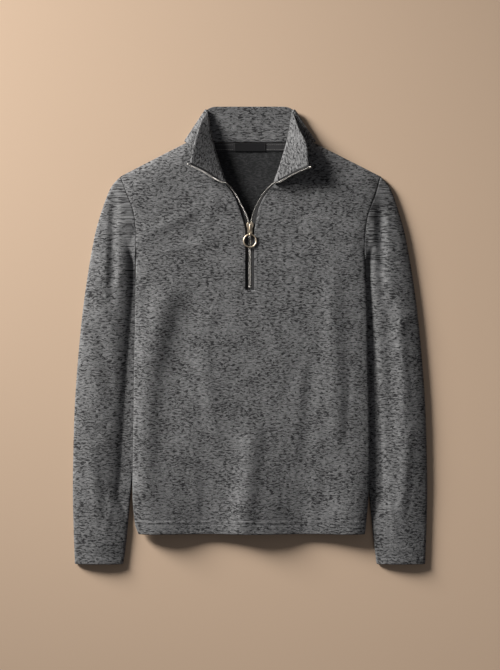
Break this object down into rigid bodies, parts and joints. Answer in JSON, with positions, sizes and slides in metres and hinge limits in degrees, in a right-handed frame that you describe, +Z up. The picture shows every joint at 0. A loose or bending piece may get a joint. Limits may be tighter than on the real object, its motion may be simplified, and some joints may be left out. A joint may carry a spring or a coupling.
{
  "type": "quarter zip sweater",
  "caption": "Long-sleeved fleece sweater laid flat, with an open stand collar, a short front zip and a ring pull that turns on the slider.",
  "frame": {"origin": "middle of the laid-out sweater's plan, on the surface that it lies on", "axes": "+Y from the hem to the collar, +X towards the wearer's left sleeve, +Z up, out of the front"},
  "size_m": [0.6372, 0.8222, 0.0357],
  "materials": {
    "fleece": "mottled grey melange knit with a soft nap",
    "zip_tape": "black woven tape",
    "zip_metal": "satin metal teeth",
    "pull_metal": "pale polished metal",
    "neck_tape": "dark herringbone tape",
    "satin": "black satin"
  },
  "bodies": {
    "garment": {"front": "fleece", "back": "fleece", "sleeve_right": "fleece", "sleeve_left": "fleece", "collar": "fleece", "zip_tape_right": "zip_tape", "zip_tape_left": "zip_tape", "zip_teeth_right": "zip_metal", "zip_teeth_left": "zip_metal", "zip_top_stop_right": "zip_metal", "zip_top_stop_left": "zip_metal", "zip_bottom_stop": "zip_metal", "zip_slider": "pull_metal", "neck_tape": "neck_tape", "neck_label": "satin"},
    "pull_ring": {"zip_ring": "pull_metal"}
  },
  "joints": [
    {"name": "pull_ring_hinge", "type": "hinge", "parent": "garment", "child": "pull_ring", "pos_m": [0, 0.18041, 0.0176], "axis": [-1, 0, 0], "range_deg": [0, 150]}
  ]
}
